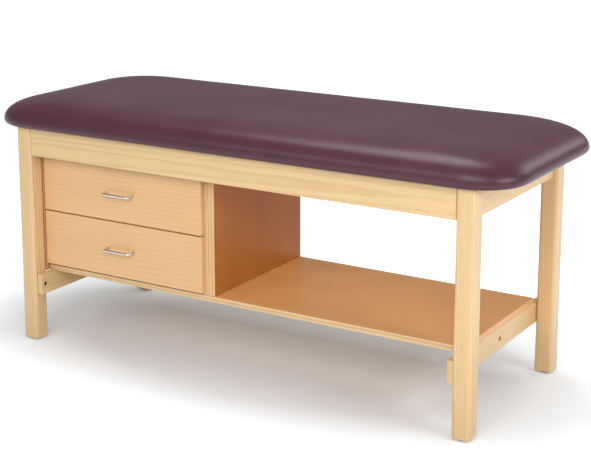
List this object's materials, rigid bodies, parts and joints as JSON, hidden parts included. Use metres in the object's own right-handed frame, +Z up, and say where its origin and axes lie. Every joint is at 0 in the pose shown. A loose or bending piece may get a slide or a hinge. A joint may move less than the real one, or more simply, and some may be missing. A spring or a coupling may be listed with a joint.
{
  "type": "treatment table with drawers",
  "caption": "Treatment table with a padded vinyl top on a wooden leg-and-apron frame, a lower shelf with a divider, and sliding drawers under one end.",
  "frame": {"origin": "on the floor under the middle of the table", "axes": "+X along the table's length with the drawers at the -X end, +Y to the back (the drawers open towards -Y), +Z up"},
  "size_m": [1.836, 0.721, 0.8151],
  "materials": {
    "solid_wood": "clear-coated pale hardwood, satin",
    "drawer_veneer": "clear-coated veneer with level grain, satin",
    "shelf_veneer": "clear-coated veneer, satin",
    "plywood": "sanded plywood, thin clear coat",
    "vinyl": "fine-grained upholstery vinyl, satin",
    "satin_nickel": "satin nickel plate",
    "zinc_steel": "zinc-plated steel",
    "black_steel": "black-oxide steel bolt",
    "glide_plastic": "dark moulded plastic"
  },
  "bodies": {
    "table": {"front_left_leg": "solid_wood", "front_right_leg": "solid_wood", "back_left_leg": "solid_wood", "back_right_leg": "solid_wood", "front_left_glide": "glide_plastic", "front_right_glide": "glide_plastic", "back_left_glide": "glide_plastic", "back_right_glide": "glide_plastic", "front_apron": "solid_wood", "back_apron": "solid_wood", "left_end_apron": "solid_wood", "right_end_apron": "solid_wood", "front_left_corner_block": "solid_wood", "front_right_corner_block": "solid_wood", "back_left_corner_block": "solid_wood", "back_right_corner_block": "solid_wood", "left_stretcher": "solid_wood", "right_stretcher": "solid_wood", "centre_rail": "solid_wood", "front_left_stretcher_bolt": "black_steel", "front_right_stretcher_bolt": "black_steel", "back_left_stretcher_bolt": "black_steel", "back_right_stretcher_bolt": "black_steel", "left_rail_bolt": "black_steel", "right_rail_bolt": "black_steel", "top_board": "plywood", "cushion": "vinyl", "shelf": "shelf_veneer", "divider": "shelf_veneer", "case_left_side": "plywood", "case_right_side": "plywood", "case_top": "plywood", "case_back": "plywood", "case_filler_strip": "solid_wood", "lower_left_case_slide": "zinc_steel", "lower_right_case_slide": "zinc_steel", "upper_left_case_slide": "zinc_steel", "upper_right_case_slide": "zinc_steel"},
    "lower_drawer": {"lower_drawer_front": "drawer_veneer", "lower_drawer_inner_front": "plywood", "lower_drawer_left_side": "plywood", "lower_drawer_right_side": "plywood", "lower_drawer_back": "plywood", "lower_drawer_bottom": "plywood", "lower_left_drawer_slide": "zinc_steel", "lower_right_drawer_slide": "zinc_steel", "lower_pull": "satin_nickel", "lower_left_pull_screw": "zinc_steel", "lower_right_pull_screw": "zinc_steel"},
    "upper_drawer": {"upper_drawer_front": "drawer_veneer", "upper_drawer_inner_front": "plywood", "upper_drawer_left_side": "plywood", "upper_drawer_right_side": "plywood", "upper_drawer_back": "plywood", "upper_drawer_bottom": "plywood", "upper_left_drawer_slide": "zinc_steel", "upper_right_drawer_slide": "zinc_steel", "upper_pull": "satin_nickel", "upper_left_pull_screw": "zinc_steel", "upper_right_pull_screw": "zinc_steel"}
  },
  "joints": [
    {"name": "lower_drawer_slide", "type": "slide", "parent": "table", "child": "lower_drawer", "axis": [0, -1, 0], "range_m": [0, 0.33]},
    {"name": "upper_drawer_slide", "type": "slide", "parent": "table", "child": "upper_drawer", "axis": [0, -1, 0], "range_m": [0, 0.33]}
  ]
}
